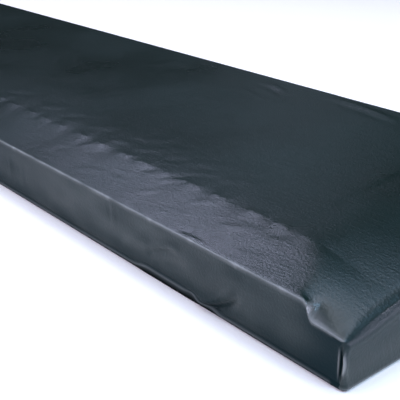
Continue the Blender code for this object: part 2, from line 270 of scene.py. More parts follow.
rearCreases = [
    Crease(260.0, 74.0, 240.0, 34.0, 3.0, 6.0, 0.7),
    Crease(272.0, 76.0, 256.0, 38.0, 3.0, 5.0, -0.5),
    Crease(560.0, 20.0, 610.0, 52.0, 4.0, 8.0, 0.6),
    Crease(860.0, 70.0, 842.0, 24.0, 3.0, 7.0, -0.7),
    Crease(1090.0, 16.0, 1052.0, 44.0, 3.0, 6.0, 0.6),
]


def clampShare(value):
    return min(max(value, 0.0), 1.0)


def ease(value):
    t = clampShare(value)
    return t * t * (3.0 - 2.0 * t)


def nearLine(value, place, width):
    # 1 on a line, less and less to both sides of it
    return math.exp(-(((value - place) / width) ** 2))


def softLeast(a, b, softness):
    return (a + b) / 2 - math.hypot((a - b) / 2, softness)


def creaseRelief(creases, s, a):
    total = 0.0
    for c in creases:
        ds, da = c.toS - c.fromS, c.toA - c.fromA
        length = math.hypot(ds, da)
        reach = coverValues["creaseReach"] * abs(c.width) + abs(c.bend)
        share = ((s - c.fromS) * ds + (a - c.fromA) * da) / length ** 2
        if share <= 0.0 or share >= 1.0:
            continue
        off = ((s - c.fromS) * da - (a - c.fromA) * ds) / length - c.bend * 4.0 * share * (1.0 - share)
        if abs(off) < reach:
            taper = math.sin(math.pi * share) ** coverValues["creaseTaper"]
            side = off / c.width
            dip = coverValues["creaseDip"] * math.exp(-((abs(side) - coverValues["creaseDipAt"]) ** 2))
            total += c.height * taper * (math.exp(-side * side) - dip)
    return total


def slowWave(x, y, seed):
    # broad slack of the cloth, longer along the cover than across it
    (broadX, broadY), (smallX, smallY) = coverValues["broadWaveSize"], coverValues["smallWaveSize"]
    broad = noise.noise(Vector((x / broadX, y / broadY, seed)))
    small = noise.noise(Vector((x / smallX, y / smallY, seed + waveSeeds["small"])))
    return coverValues["broadWave"] * broad + coverValues["smallWave"] * small


def dipBetweenTents(s):
    half = coverValues["tentHalfWidth"]
    for near, far in tentGaps:
        start, end = near + half, far - half
        if start < s < end:
            share = (s - start) / (end - start)
            return coverValues["dipPerWidth"] * (end - start) * math.sin(math.pi * share)
    return 0.0


def tentPeaks(s, v):
    # the cloth is pulled to a soft point over each tent's two front corners
    total = 0.0
    (width, length), (reachAlong, reachBack) = coverValues["tentPeakSize"], coverValues["tentPeakReach"]
    if abs(v - coverValues["bandDepth"]) > reachBack:
        return total
    for centre in tents:
        if abs(s - centre) < reachAlong:
            for corner in (centre - coverValues["tentCorner"], centre + coverValues["tentCorner"]):
                back = v - coverValues["bandDepth"] - coverValues["tentPeakBack"]
                away = math.hypot((s - corner) / width, back / length)
                total += coverValues["tentPeak"] * math.exp(-away * away)
    return total


def middleHeight(s, v):
    # the inclined band and the wide top meet in a fold, crisp on the tents and softer between them
    band, crest = coverValues["bandDepth"], coverValues["ridgeHeight"] + coverValues["bandRise"]
    incline = coverValues["ridgeHeight"] + coverValues["bandRise"] * v / band
    share = (v - band) / (coverValues["depth"] - band)
    wide = crest + (coverValues["rearHeight"] - crest) * share
    wide -= coverValues["topSag"] * math.sin(math.pi * max(share, 0.0))
    sprung = 1.0 - math.exp(-max(v - band, 0.0) / coverValues["springReach"])
    wide += coverValues["tentSpring"] * sprung * (1.0 - share)
    softness = coverValues["tentSoftness"] + dipBetweenTents(s)
    return softLeast(incline, wide, softness)


def endHeight(v):
    return coverValues["shoulderHeight"] + coverValues["endSlope"] * v + endEasing * v * v


def bandReach(v, firstTent):
    # how far in from the end the band starts to fall, at a distance v behind the ridge
    start, twist = coverValues["shoulder"] + coverValues["stepWidth"], coverValues["ridgeEndTwist"]
    across = clampShare(v / coverValues["bandDepth"])
    twisted = twist * (1.0 - math.exp(-max(v, 0.0) / coverValues["twistDepth"]))
    return start + twisted + (firstTent - start - twist) * across ** coverValues["bandTurn"]


def rampHeight(inward, v, firstTent, middle):
    # height of the cloth that climbs from the end; middle gives the height of the part between the ends
    reach, low = bandReach(v, firstTent), endHeight(v)
    sag = coverValues["rampSag"] * math.exp(-v / coverValues["rampSagReach"])
    climbed = low + (middle(reach, v) - low) * (inward / reach) ** (1.0 + sag)
    # in front, a facet leans back from the shoulder's low edge and ends at the step below the ridge's end
    stepEnd = coverValues["shoulder"] + coverValues["stepWidth"]
    if inward >= stepEnd:
        return climbed
    steeper = coverValues["stepPull"] * math.exp((inward - stepEnd) / coverValues["stepPullReach"])
    foot = clampShare((inward - stepEnd) / coverValues["stepFoot"] + 1.0)
    facet = (coverValues["shoulderHeight"] + coverValues["stepCurve"] * foot ** coverValues["stepBend"]
             + (coverValues["shoulderPull"] + steeper) * v)
    step = ease((stepEnd - inward) / coverValues["stepWidth"])
    softening = coverValues["facetSoftening"] * ease((stepEnd - inward) / coverValues["facetReach"])
    return climbed + (softLeast(climbed, facet, coverValues["facetSoftness"] + softening) - climbed) * step


def topHeight(s, v):
    fromLeft = coverLength - s
    softness = coverValues["crispSoftness"]
    softness += coverValues["rampSoftness"] * ease(v / coverValues["crispReach"])
    height = middleHeight(s, v)
    if s < rightTent + coverValues["rampOverlap"]:
        height = softLeast(height, rampHeight(s, v, rightTent, middleHeight), softness)
    if fromLeft < leftTent + coverValues["rampOverlap"]:
        ramp = rampHeight(fromLeft, v, leftTent,
                          lambda inward, back: middleHeight(coverLength - inward, back))
        height = softLeast(height, ramp, softness)
    fade = coverValues["tentFade"]
    raised = clampShare((s - rightTent) / fade + 1.0) * clampShare((fromLeft - leftTent) / fade + 1.0)
    edge = min(v, coverValues["depth"] - v, s, fromLeft)
    loose = slowWave(s, v, waveSeeds["top"]) * ease(edge / coverValues["topFade"])
    wobble = noise.noise(Vector((s / coverValues["wobbleLength"], *waveSeeds["wobble"])))
    wobble *= coverValues["ridgeWobble"] * math.exp(-v / coverValues["wobbleReach"])
    return height + creaseRelief(topCreases, s, v) + tentPeaks(s, v) * raised + loose + wobble


def endRadius(v):
    near = min(v, coverValues["depth"] - v)
    radius, atCorner = coverValues["endRadius"], coverValues["cornerRadius"]
    return radius + (atCorner - radius) * math.exp(-near / coverValues["cornerReach"])


def topPoint(s, v):
    radius = endRadius(v)
    short = max(radius - min(s, coverLength - s), 0.0)
    return s, v, topHeight(s, v) - radius + math.sqrt(radius ** 2 - short ** 2)


def wallColumn(s, share):
    # the outermost columns stand further in on the walls (share 0) than on the top (share 1)
    inward, last = min(s, coverLength - s), coverValues["edgeColumns"]
    if inward >= last:
        return s
    onTop, onWall = coverValues["endTopInset"], coverValues["seamInset"]
    moved = onWall + (inward - onTop) * (last - onWall) / (last - onTop)
    moved += (inward - moved) * share
    return moved if s < coverLength / 2 else coverLength - moved


frontArcs, rearArcs = {}, {}


def frontArc(s):
    # centre height and tilt of the rounding where the top turns down into the front wall
    if s not in frontArcs:
        radius = coverValues["ridgeRadius"]
        slope = (topHeight(s, 1.6 * radius) - topHeight(s, 0.6 * radius)) / radius
        tilt = math.atan(min(max(slope, 0.0), coverValues["steepestFront"]))
        start = radius * (1.0 - math.sin(tilt))
        frontArcs[s] = (topHeight(s, start) - radius * math.cos(tilt), tilt)
    return frontArcs[s]


def rearArc(s):
    if s not in rearArcs:
        radius, depth = coverValues["rearRadius"], coverValues["depth"]
        slope = (topHeight(s, depth - radius) - topHeight(s, depth - 4.0 * radius)) / (3.0 * radius)
        tilt = math.atan(min(max(slope, 0.0), coverValues["steepestRear"]))
        start = depth - radius * (1.0 + math.sin(tilt))
        rearArcs[s] = (topHeight(s, start) - radius * math.cos(tilt), tilt)
    return rearArcs[s]


def hemLift(s):
    for here, after in zip(hemLifts[:-1], hemLifts[1:]):
        if s <= after.s:
            return here.lift + (after.lift - here.lift) * ease((s - here.s) / (after.s - here.s))
    last = hemLifts[-1]
    return last.lift * (1.0 - ease((s - last.s) / (coverLength - coverValues["shoulder"] - last.s)))


def cornerShift(distance, inward):
    # the deep rows of a long hem are moved along it at a corner, to meet the end's hem
    deeper = max(inward - coverValues["seamInset"], 0.0)
    return deeper * math.exp(-max(distance, 0.0) / coverValues["seamSpread"])


def cornerRound(distance):
    # how far an end wall stands in where it turns round to a corner seam
    short = 1.0 - clampShare(distance / coverValues["cornerTurn"])
    return coverValues["seamInset"] * (1.0 - math.sqrt(1.0 - short ** 2))


def seamPucker(distance, z):
    # small gathers beside a corner seam, a little unevenly spaced
    drift, pace = coverValues["puckerDrift"]
    gathers = math.sin(z * coverValues["puckerTurn"] + drift * math.sin(z * pace))
    return coverValues["seamPucker"] * gathers * math.exp(-distance / coverValues["puckerReach"])


def openSeam(z):
    # how far the front right seam has parted at this height, 0 to 1, widest a little above its middle
    share = clampShare((z - coverValues["slitFoot"]) / coverValues["slitLength"])
    widest, fullness = coverValues["slitShape"]
    return math.sin(math.pi * share ** widest) ** fullness


def aboveHem(z):
    start, length = coverValues["hemFade"]
    return clampShare((z - start) / length)


def longWallPoint(s, index, front):
    s = wallColumn(s, 0.0)
    inward = min(s, coverLength - s) - coverValues["seamInset"]
    edge = (frontArc(s) if front else rearArc(s))[0]
    lift = hemLift(s) if front else 0.0
    if index < len(hemRows):
        # where the hem's fold is lifted, its turned-in part stays on the table behind a dark gap
        row = hemRows[index]
        share = 0.0 if index < turnedRows else 1.0
        z = row.height + lift * share * (1.0 - row.height / edge)
        depthIn = row.inward - coverValues["liftForward"] * lift * (1.0 - share)
    else:
        low = coverValues["hemTop"] + lift * (1.0 - coverValues["hemTop"] / edge)
        z, depthIn = low + (edge - low) * wallRows[index - len(hemRows)].share, 0.0
    shift = cornerShift(s - coverValues["seamInset"], depthIn)
    shift -= cornerShift(coverLength - coverValues["seamInset"] - s, depthIn)
    if front:
        start, length = coverValues["smoothRiseOver"]
        smoothEdge = coverValues["shoulderHeight"]
        smoothEdge += coverValues["smoothRise"] * ease((inward - start) / length)
        free = aboveHem(z) * clampShare((smoothEdge - z) / coverValues["edgeFade"])
        v = depthIn + coverValues["frontLean"] * clampShare(1.0 - z / smoothEdge)
        if index >= turnedRows:
            v -= creaseRelief(frontCreases, s, z)
            v += slowWave(s, z, waveSeeds["front"]) * free + seamPucker(inward, z) * free
        v = max(v, -coverValues["proud"])
    else:
        free = aboveHem(z) * clampShare((edge - z) / coverValues["edgeFade"])
        v = depthIn + coverValues["rearLean"] * clampShare(4.0 * (z / edge) * (1.0 - z / edge))
        v -= (creaseRelief(rearCreases, s, z) + slowWave(s, z, waveSeeds["rear"])) * free
        v += seamPucker(inward, z) * free
        v = coverValues["depth"] - max(v, -coverValues["proud"])
    return s + shift, v, z


def turnPoint(s, share, front):
    # a point where the top turns down into a long wall: share 0 is on the wall and 1 on the top
    arc = frontArc if front else rearArc
    radius = coverValues["ridgeRadius" if front else "rearRadius"]
    height, tilt = arc(wallColumn(s, 0.0))
    heightTop, tiltTop = arc(wallColumn(s, 1.0))
    height, tilt = height + (heightTop - height) * share, tilt + (tiltTop - tilt) * share
    angle = share * (math.pi / 2 - tilt if front else math.pi / 2 + tilt)
    start = radius if front else coverValues["depth"] - radius
    drop = topPoint(s, start)[2] - topHeight(s, start)
    back = radius * (1.0 - math.cos(angle))
    v = back if front else coverValues["depth"] - back
    return wallColumn(s, share), v, height + radius * math.sin(angle) + drop * share


def endWallPoint(v, index):
    # a point of an end wall away from its corners: distance in from the end, v and z
    radius, rim = endRadius(v), endHeight(v)
    edge = rim - radius
    depthIn = turned = 0.0
    if index < len(hemRows):
        row = hemRows[index]
        z, depthIn = row.height, row.inward
        if index in grooveRows:
            depthIn *= coverValues["endGroove"]
    else:
        row = wallRows[index - len(hemRows)]
        if row.endShare is None:
            angle = math.radians(row.turn)
            z, turned = edge + radius * math.cos(angle), radius * (1.0 - math.sin(angle))
        else:
            z = coverValues["hemTop"] + (edge - coverValues["hemTop"]) * row.endShare
    above = clampShare((z - coverValues["endHollowFrom"]) / (edge - coverValues["endHollowFrom"]))
    hollow = coverValues["endHollow"] * math.sin(math.pi * above ** coverValues["endHollowBend"])
    belowRim = clampShare((rim - z) / coverValues["rimFade"])
    wave = slowWave(v, z, waveSeeds["end"]) * aboveHem(z) * belowRim
    near, far = v, coverValues["depth"] - v
    pucker = (seamPucker(near, z) + seamPucker(far, z)) * belowRim * coverValues["endPucker"]
    rounded = (cornerRound(near) + cornerRound(far)) * (1.0 - turned / radius)
    lean = coverValues["frontLean"] * clampShare(1.0 - z / rim) * math.exp(-near / coverValues["leanReach"])
    spread = coverValues["seamSpread"]
    shift = depthIn * (math.exp(-near / spread) - math.exp(-far / spread))
    return depthIn + turned + hollow + wave + pucker + rounded, v + shift + lean, z


# Rows over the top: shares of its turns down at the front and the rear, and distances back from the front
turnShares = [0.2, 0.4, 0.6, 0.8, 1.0]
bandRows = [2.9, 3.8, 4.9, 6.3, 8.0, 10.0] + [12.4 + 2.5 * i for i in range(14)]
tentRows = [47.6, 49.0, 50.2, 51.4, 52.8, 54.4, 56.4, 58.8, 61.6, 65.0, 69.0, 73.6]
wideRows = [79.0 + 6.2 * i for i in range(24)] + [226.5 + 3.5 * i for i in range(17)] + [285.2]
rearShares = [1.0, 0.75, 0.5, 0.25]

# Columns beside each end, by distance in from it
rightColumns = [2.8, 3.2, 3.7, 4.4, 5.4, 6.8, 8.6, 10.6, 12.8, 15.2, 17.6, 20.0, 22.4, 24.6, 26.6, 28.4,
                30.0, 31.2, 32.2, 33.0, 33.7, 34.5, 35.2, 36.0, 37.2, 38.8, 40.6, 42.6, 44.8, 47.2, 50.0,
                53.0, 56.0, 59.2, 62.4, 66.0]
leftColumns = [2.8, 4.4, 6.6, 9.4, 12.6, 16.5, 20.8, 25.0, 28.6, 30.7, 32.0, 33.4, 36.0, 41.0, 47.0, 53.0]
# Widest step between the columns from there on, which grows with the distance from the right end
ColumnStep = namedtuple("ColumnStep", "before widest")
columnSteps = [ColumnStep(360.0, 3.4), ColumnStep(600.0, 5.0), ColumnStep(coverLength, 9.0)]


def stripRows():
    rows = [("front", i) for i in range(wallCount)]
    rows += [("frontTurn", share) for share in turnShares]
    rows += [("top", v) for v in bandRows + tentRows + wideRows]
    rows += [("rearTurn", share) for share in rearShares]
    return rows + [("rear", i) for i in reversed(range(wallCount))]


def stripColumns():
    half = coverValues["tentHalfWidth"]
    marks = [tents[0] - half]
    for near, far in tentGaps:
        marks += [near + half, (near + far) / 2, far - half]
    marks.append(tents[-1] + half)
    columns = list(rightColumns)
    for start, end in zip(marks[:-1], marks[1:]):
        widest = next(step.widest for step in columnSteps if start < step.before)
        count = max(math.ceil((end - start) / widest), 1)
        columns += [start + (end - start) * i / count for i in range(count)]
    columns.append(marks[-1])
    return columns + [coverLength - s for s in reversed(leftColumns)]


def toWorld(place):
    s, v, z = place
    return Vector((coverLength / 2 - s, v - coverValues["depth"] / 2, z)) * millimetre


def clothUv(kind, place):
    # the cloth's own threads: along the cover and down its sides
    s, v, z = place
    depth, ridge = coverValues["depth"], coverValues["ridgeHeight"]
    if kind == "front":
        return s, z - ridge
    if kind == "rear":
        return s, depth + coverValues["rearHeight"] - z
    if kind == "end":
        rim = endHeight(clampShare(v / depth) * depth)
        return (z - rim if s < coverLength / 2 else coverLength + rim - z), v
    return s, v


# The cloth's finish; a teal painted shade dulls and tints the cloth in places, and a near-black painted
# shade covers the hem's turned-in rows
satinValues = {
    "deep": (0.0004, 0.0052, 0.0034, 1.0),
    "pale": (0.0034, 0.0130, 0.0112, 1.0),
    # teal colour of the painted shade on dulled cloth
    "shadedTone": (0.0022, 0.0112, 0.0136, 1.0),
    # pale colour of the painted highlights
    "highlightTone": (0.166, 0.178, 0.176, 1.0),
    # near-black painted shade for the hem's turned-in rows
    "gapShadeTone": (0.0012, 0.0020, 0.0018, 1.0),
    "toneScale": 7.0,
    "toneSpread": (0.72, 1.28),
    "gloss": (0.80, 0.88, 0.94, 1.0),
    "glossLevel": 0.42,
    "shadedGloss": 0.04,
    "roughness": 0.29,
    "roughSpread": 0.04,
    "roughTone": (0.3, 0.7),
    "shadedRoughness": 0.24,     # more where the cloth gets painted shade
    "sheen": 0.008,
    "sheenRoughness": 0.5,
    # Threads, grain, streaks and strokes, in metres
    "threadPitch": 0.0006,
    "threadHeight": 0.00003,
    "threadUneven": 0.6,
    "grainSize": 0.0020,
    "grainHeight": 0.00023,
    "streakTurn": -0.17,        # radians from the cover's length
    "streakSize": (0.010, 0.0023),
    "streakHeight": 0.00009,
    "streakRoughness": 0.65,
    "strokeSize": (0.026, 0.0040),
    "strokeHeight": 0.00006,
    "strokeShare": (0.48, 0.80),
    # Where and how strong the painted highlights are, on the seam's lips, the hem, the ridge and the
    # shoulder's facet: a line is its place and its width in millimetres
    # the lips of the parted seam get a pale painted highlight
    "endLip": (0.1, 0.9),
    "endLipReach": 2.3,
    "frontLip": (5.4, 0.6),
    "frontLipShare": 0.8,
    "frontLipDepth": 1.4,
    "frontLipReach": 12.0,
    # a pale painted highlight along the hem's rolled fold
    "hem": (1.8, 1.0),
    "hemShare": 0.4,
    "hemReach": 12.0,
    "ridge": (0.6, 0.65),
    "ridgeShare": 0.50,
    "ridgeUneven": 0.50,
    "unevenLength": 21.0,
    "ridgeDrop": 4.0,           # the ridge's painted highlight ends this far below the ridge
    "ridgeDropFade": 3.0,
    "ridgeEndFade": 3.0,
    "knots": (55.0, 99.0, 146.0, 194.0, 250.0, 405.0),
    "knotWidth": 2.2,
    "knotShare": 0.7,
    "facetShare": 0.32,
    "facetStep": (31.0, 4.5),   # where the painted highlight on the shoulder's facet is brightest, against the step
    "facetStepShare": 0.16,
    "facetDepth": 1.0,
    "facetWidening": 0.2,
    "facetFrom": (1.0, 12.0),
    "facetTo": (36.0, 3.0),
    # Painted shade: the cloth is dulled and tinted teal low on the front, by the corners and far from both
    # ends, less so up towards the ridge and in patches, and the ends are dulled upwards. A name with Over
    # gives the place where a change starts and its length, in millimetres.
    "frontHem": 0.24,
    "frontRise": 0.42,
    "frontRiseOver": (4.0, 22.0),
    "patches": 0.30,
    "patchSize": (36.0, 15.0),
    "byCorner": 0.20,
    "pastCorner": 0.86,
    "pastCornerOver": (8.0, 46.0),
    "farLoss": 0.76,
    "farLossOver": (230.0, 300.0),
    "endLoss": 0.45,
    "endLossOver": (12.0, 18.0),
}


def facetHighlight(inward, v):
    # painted highlight on the shoulder's facet, brightest against the step
    start, rise = satinValues["facetFrom"]
    end, fall = satinValues["facetTo"]
    pale = satinValues["facetShare"]
    pale += satinValues["facetStepShare"] * nearLine(inward, *satinValues["facetStep"])
    pale *= nearLine(v, 0.0, satinValues["facetDepth"] + satinValues["facetWidening"] * inward)
    return pale * ease((inward - start) / rise) * ease((end - inward) / fall)


def ridgeHighlight(s, v, z):
    # a painted highlight along the ridge, uneven and stronger at its knots
    drop = z - topHeight(s, coverValues["ridgeRadius"]) + satinValues["ridgeDrop"]
    line = nearLine(v, *satinValues["ridge"]) * ease(drop / satinValues["ridgeDropFade"])
    knots = sum(nearLine(s, knot, satinValues["knotWidth"]) for knot in satinValues["knots"])
    uneven = 0.5 + noise.noise(Vector((s / satinValues["unevenLength"], *waveSeeds["highlight"])))
    strength = satinValues["ridgeShare"] + satinValues["ridgeUneven"] * uneven
    strength += satinValues["knotShare"] * knots
    return line * strength * ease(min(s, coverLength - s) / satinValues["ridgeEndFade"])


def paintedHighlight(kind, place):
    # how strong the painted highlight is: on the ridge, the shoulder's facet, the hem and the lips of the
    # open seam
    s, v, z = place
    if kind == "end":
        onLip = nearLine(v, *satinValues["endLip"]) * openSeam(z) if s < satinValues["endLipReach"] else 0.0
        return max(onLip, satinValues["hemShare"] * nearLine(z, *satinValues["hem"]))
    if kind == "front" and s < satinValues["frontLipReach"]:
        onLip = satinValues["frontLipShare"] * nearLine(s, *satinValues["frontLip"]) * openSeam(z)
        return onLip * ease(satinValues["frontLipDepth"] - v)
    if kind == "front" and z < satinValues["hemReach"]:
        return satinValues["hemShare"] * nearLine(z - hemLift(s), *satinValues["hem"])
    facet = facetHighlight(min(s, coverLength - s), v) if kind == "top" else 0.0
    return clampShare(max(ridgeHighlight(s, v, z), facet))


def changeOver(name, value):
    start, length = satinValues[name + "Over"]
    return satinValues[name] * ease((value - start) / length)


def unshadedShare(kind, place):
    # 1 where there is no painted shade; less low on the front, by its corners, far from the ends and at the
    # top of the ends
    s, _, z = place
    inward = min(s, coverLength - s)
    unshaded = 1.0
    if kind == "front":
        along, up = satinValues["patchSize"]
        patches = satinValues["patches"] * noise.noise(Vector((s / along, z / up, waveSeeds["patches"])))
        unshaded = satinValues["frontHem"] + changeOver("frontRise", z) + patches
        unshaded *= satinValues["byCorner"] + changeOver("pastCorner", inward) - changeOver("farLoss", inward)
    elif kind == "end":
        unshaded = 1.0 - changeOver("endLoss", z)
    return clampShare(unshaded)


def layerNamed(layers, name):
    return layers.get(name) or layers.new(name)


def addPatch(bm, columns, rows, hems, place):
    # a grid of cloth with column i and row j put at place(i, j), its threads in the UV map, and its painted
    # highlights, painted shade and turned-in rows in attributes; it starts with a hem, and with two it ends
    # with one too
    uvLayer = layerNamed(bm.loops.layers.uv, "clothThreads")
    highlightLayer = layerNamed(bm.verts.layers.float, "paintedHighlight")
    unshadedLayer = layerNamed(bm.verts.layers.float, "unshadedShare")
    turnedLayer = layerNamed(bm.verts.layers.float, "turnedIn")
    made = bmesh.ops.create_grid(bm, x_segments=columns - 1, y_segments=rows - 1, size=1.0)
    threads = {}
    for vert in made["verts"]:
        i = round((vert.co.x + 1.0) / 2.0 * (columns - 1))
        j = round((vert.co.y + 1.0) / 2.0 * (rows - 1))
        kind, point = place(i, j)
        vert.co = toWorld(point)
        threads[vert] = [value * millimetre for value in clothUv(kind, point)]
        vert[highlightLayer] = paintedHighlight(kind, point)
        vert[unshadedLayer] = unshadedShare(kind, point)
        fromHem = min(j, rows - 1 - j) if hems == 2 else j
        vert[turnedLayer] = 1.0 if fromHem < turnedRows else 0.0
    for face in {face for vert in made["verts"] for face in vert.link_faces}:
        for loop in face.loops:
            loop[uvLayer].uv = threads[loop.vert]


# Level section through the parted seam where it is widest, from the bottom of the groove out to each lip
SeamPoint = namedtuple("SeamPoint", "s v")
frontLip = [SeamPoint(4.4, 5.6), SeamPoint(4.9, 1.5), SeamPoint(5.1, 0.55), SeamPoint(5.6, 0.1)]
endLip = [SeamPoint(4.4, 5.6), SeamPoint(2.5, 2.2), SeamPoint(2.1, 0.5), SeamPoint(1.3, -0.2),
          SeamPoint(0.5, 0.1), SeamPoint(0.05, 0.9), SeamPoint(0.0, 2.2), SeamPoint(0.1, 3.4)]


def partWay(place, target, share):
    return [a + (b - a) * share for a, b in zip(place, target)]


def stripPoint(columns, rows, i, j):
    kind, value = rows[j]
    s = columns[i]
    if kind == "front":
        s, v, z = longWallPoint(s, value, True)
        if i < len(frontLip):
            s, v = partWay((s, v), frontLip[i], openSeam(z))
        return "front", (s, v, z)
    if kind == "rear":
        return "rear", longWallPoint(s, value, False)
    if kind in ("frontTurn", "rearTurn"):
        return "top", turnPoint(s, value, kind == "frontTurn")
    return "top", topPoint(s, value)


def endPoint(columns, rows, across, i, j, right):
    # an end wall's columns are the strip's rows over the top, and the outermost are its corner seams
    outer = 0 if right else len(columns) - 1
    if i == 0 and j < wallCount:
        return "end", stripPoint(columns, rows, outer, j)[1]
    if i == len(across) - 1 and j < wallCount:
        return "end", stripPoint(columns, rows, outer, len(rows) - 1 - j)[1]
    rim = stripPoint(columns, rows, outer, across[i])[1]
    if j == wallCount:
        return "end", rim
    inset, v, z = endWallPoint(rim[1], j)
    if right and i < len(endLip):
        # the end's lip of the parted seam bows out, its edge rolled in
        inset, v = partWay((inset, v), endLip[i], openSeam(z))
    return "end", ((inset if right else coverLength - inset), v, z)


def buildCover():
    bm = bmesh.new()
    columns, rows = stripColumns(), stripRows()
    addPatch(bm, len(columns), len(rows), 2, lambda i, j: stripPoint(columns, rows, i, j))
    print("long cloth placed:", len(columns), "columns,", len(rows), "rows")
    across = [k for k, row in enumerate(rows) if row[0] in ("frontTurn", "top", "rearTurn")]
    for right in (True, False):
        addPatch(bm, len(across), wallCount + 1, 1,
                 lambda i, j, right=right: endPoint(columns, rows, across, i, j, right))
    bmesh.ops.remove_doubles(bm, verts=bm.verts, dist=coverValues["weld"] * millimetre)
    bmesh.ops.recalc_face_normals(bm, faces=bm.faces)
    highest = max(bm.faces, key=lambda face: face.calc_center_median().z)
    if highest.normal.z < 0:
        bmesh.ops.reverse_faces(bm, faces=bm.faces)
    mesh = bpy.data.meshes.new("stretchCover")
    bm.to_mesh(mesh)
    bm.free()
    mesh.shade_smooth()
    cover = bpy.data.objects.new("stretch_cover", mesh)
    bpy.context.scene.collection.objects.link(cover)
    wall = cover.modifiers.new("clothThickness", "SOLIDIFY")
    wall.thickness = coverValues["thickness"] * millimetre
    wall.offset = -1.0
    wall.use_even_offset = False
    return cover


def addNode(tree, kind, values=None, **settings):
    # a shader node with its settings and the values of its open inputs
    node = tree.nodes.new("ShaderNode" + kind)
    for name, value in settings.items():
        setattr(node, name, value)
    for name, value in (values or {}).items():
        node.inputs[name].default_value = value
    return node


def layOver(tree, under, over, share):
    # one colour over another by a share; a colour is given as numbers or as an output
    mix = addNode(tree, "Mix", data_type="RGBA")
    for name, colour in (("A", under), ("B", over)):
        if isinstance(colour, tuple):
            mix.inputs[name].default_value = colour
        else:
            tree.links.new(colour, mix.inputs[name])
    tree.links.new(share, mix.inputs["Factor"])
    return mix.outputs["Result"]


def combine(tree, operation, first, second, clamp=False):
    both = addNode(tree, "Math", operation=operation, use_clamp=clamp)
    tree.links.new(first, both.inputs[0])
    tree.links.new(second, both.inputs[1])
    return both.outputs["Value"]


def remap(tree, source, fromRange, toRange=(0.0, 1.0), **settings):
    names = ("From Min", "From Max", "To Min", "To Max")
    spread = addNode(tree, "MapRange", dict(zip(names, (*fromRange, *toRange))), **settings)
    tree.links.new(source, spread.inputs["Value"])
    return spread.outputs["Result"]


def patternOn(tree, vector, kind, values, **settings):
    pattern = addNode(tree, kind, values, **settings)
    tree.links.new(vector, pattern.inputs["Vector"])
    return pattern.outputs["Fac"]


def pulledAlong(tree, vector, size):
    # coordinates in which a pattern comes out at this size, nearly along the cover
    turned = addNode(tree, "Mapping", vector_type="TEXTURE")
    turned.inputs["Rotation"].default_value = (0.0, 0.0, satinValues["streakTurn"])
    turned.inputs["Scale"].default_value = (*size, 1.0)
    tree.links.new(vector, turned.inputs["Vector"])
    return turned.outputs["Vector"]


def addRelief(tree, height, distance, under=None):
    bump = addNode(tree, "Bump", {"Distance": distance})
    tree.links.new(height, bump.inputs["Height"])
    if under:
        tree.links.new(under, bump.inputs["Normal"])
    return bump.outputs["Normal"]


def satinCloth():
    material = bpy.data.materials.new("darkSatinStretch")
    material.use_nodes = True
    tree = material.node_tree
    shader = tree.nodes["Principled BSDF"]
    shader.inputs["Sheen Weight"].default_value = satinValues["sheen"]
    shader.inputs["Sheen Roughness"].default_value = satinValues["sheenRoughness"]
    shader.inputs["Specular Tint"].default_value = satinValues["gloss"]
    unshaded = addNode(tree, "Attribute", attribute_name="unshadedShare").outputs["Fac"]
    highlight = addNode(tree, "Attribute", attribute_name="paintedHighlight").outputs["Fac"]
    turned = addNode(tree, "Attribute", attribute_name="turnedIn").outputs["Fac"]
    threads = addNode(tree, "UVMap", uv_map="clothThreads").outputs["UV"]
    space = addNode(tree, "TexCoord").outputs["Object"]
    # slow change of tone over the cloth, and fine pull lines
    tone = patternOn(tree, space, "TexNoise", {"Scale": satinValues["toneScale"], "Detail": 4.0})
    streaks = patternOn(tree, pulledAlong(tree, threads, satinValues["streakSize"]), "TexNoise",
                        {"Scale": 1.0, "Detail": 3.0, "Roughness": satinValues["streakRoughness"]})
    mottle = remap(tree, combine(tree, "ADD", tone, streaks), satinValues["toneSpread"])
    colour = layOver(tree, satinValues["deep"], satinValues["pale"], mottle)
    # teal painted shade where the cloth is dulled
    colour = layOver(tree, satinValues["shadedTone"], colour, unshaded)
    # pale painted highlight over the ridge, the shoulder's facet, the hem and the seam's lips
    colour = layOver(tree, colour, satinValues["highlightTone"], highlight)
    # near-black painted shade on the hem's turned-in rows
    colour = layOver(tree, colour, satinValues["gapShadeTone"], turned)
    tree.links.new(colour, shader.inputs["Base Color"])
    # where the cloth gets painted shade it shines less and more broadly, and the turned-in rows' painted
    # shade doesn't shine
    shine = remap(tree, unshaded, (0.0, 1.0), (satinValues["shadedGloss"], satinValues["glossLevel"]))
    shine = combine(tree, "SUBTRACT", shine, turned, clamp=True)
    tree.links.new(shine, shader.inputs["Specular IOR Level"])
    middle, spread = satinValues["roughness"], satinValues["roughSpread"]
    rough = remap(tree, tone, satinValues["roughTone"], (middle - spread, middle + spread))
    rougher = remap(tree, unshaded, (0.0, 1.0), (satinValues["shadedRoughness"], 0.0))
    tree.links.new(combine(tree, "ADD", rough, rougher), shader.inputs["Roughness"])
    # crossing threads, grain, the pull lines, and here and there a longer raised stroke
    bandWidth = 0.314           # of the wave texture's bands at a scale of 1
    waveScale = bandWidth / satinValues["threadPitch"]
    waveValues = {"Scale": waveScale, "Distortion": satinValues["threadUneven"]}
    along, across = [
        patternOn(tree, threads, "TexWave", waveValues, wave_type="BANDS", bands_direction=direction)
        for direction in ("X", "Y")
    ]
    relief = addRelief(tree, combine(tree, "MULTIPLY", along, across), satinValues["threadHeight"])
    grain = patternOn(tree, threads, "TexNoise", {"Scale": 1.0 / satinValues["grainSize"], "Detail": 3.0})
    relief = addRelief(tree, grain, satinValues["grainHeight"], relief)
    relief = addRelief(tree, streaks, satinValues["streakHeight"], relief)
    strokes = patternOn(tree, pulledAlong(tree, threads, satinValues["strokeSize"]), "TexNoise",
                        {"Scale": 1.0, "Detail": 1.0})
    few = remap(tree, strokes, satinValues["strokeShare"], interpolation_type="SMOOTHSTEP")
    relief = addRelief(tree, few, satinValues["strokeHeight"], relief)
    tree.links.new(relief, shader.inputs["Normal"])
    return material


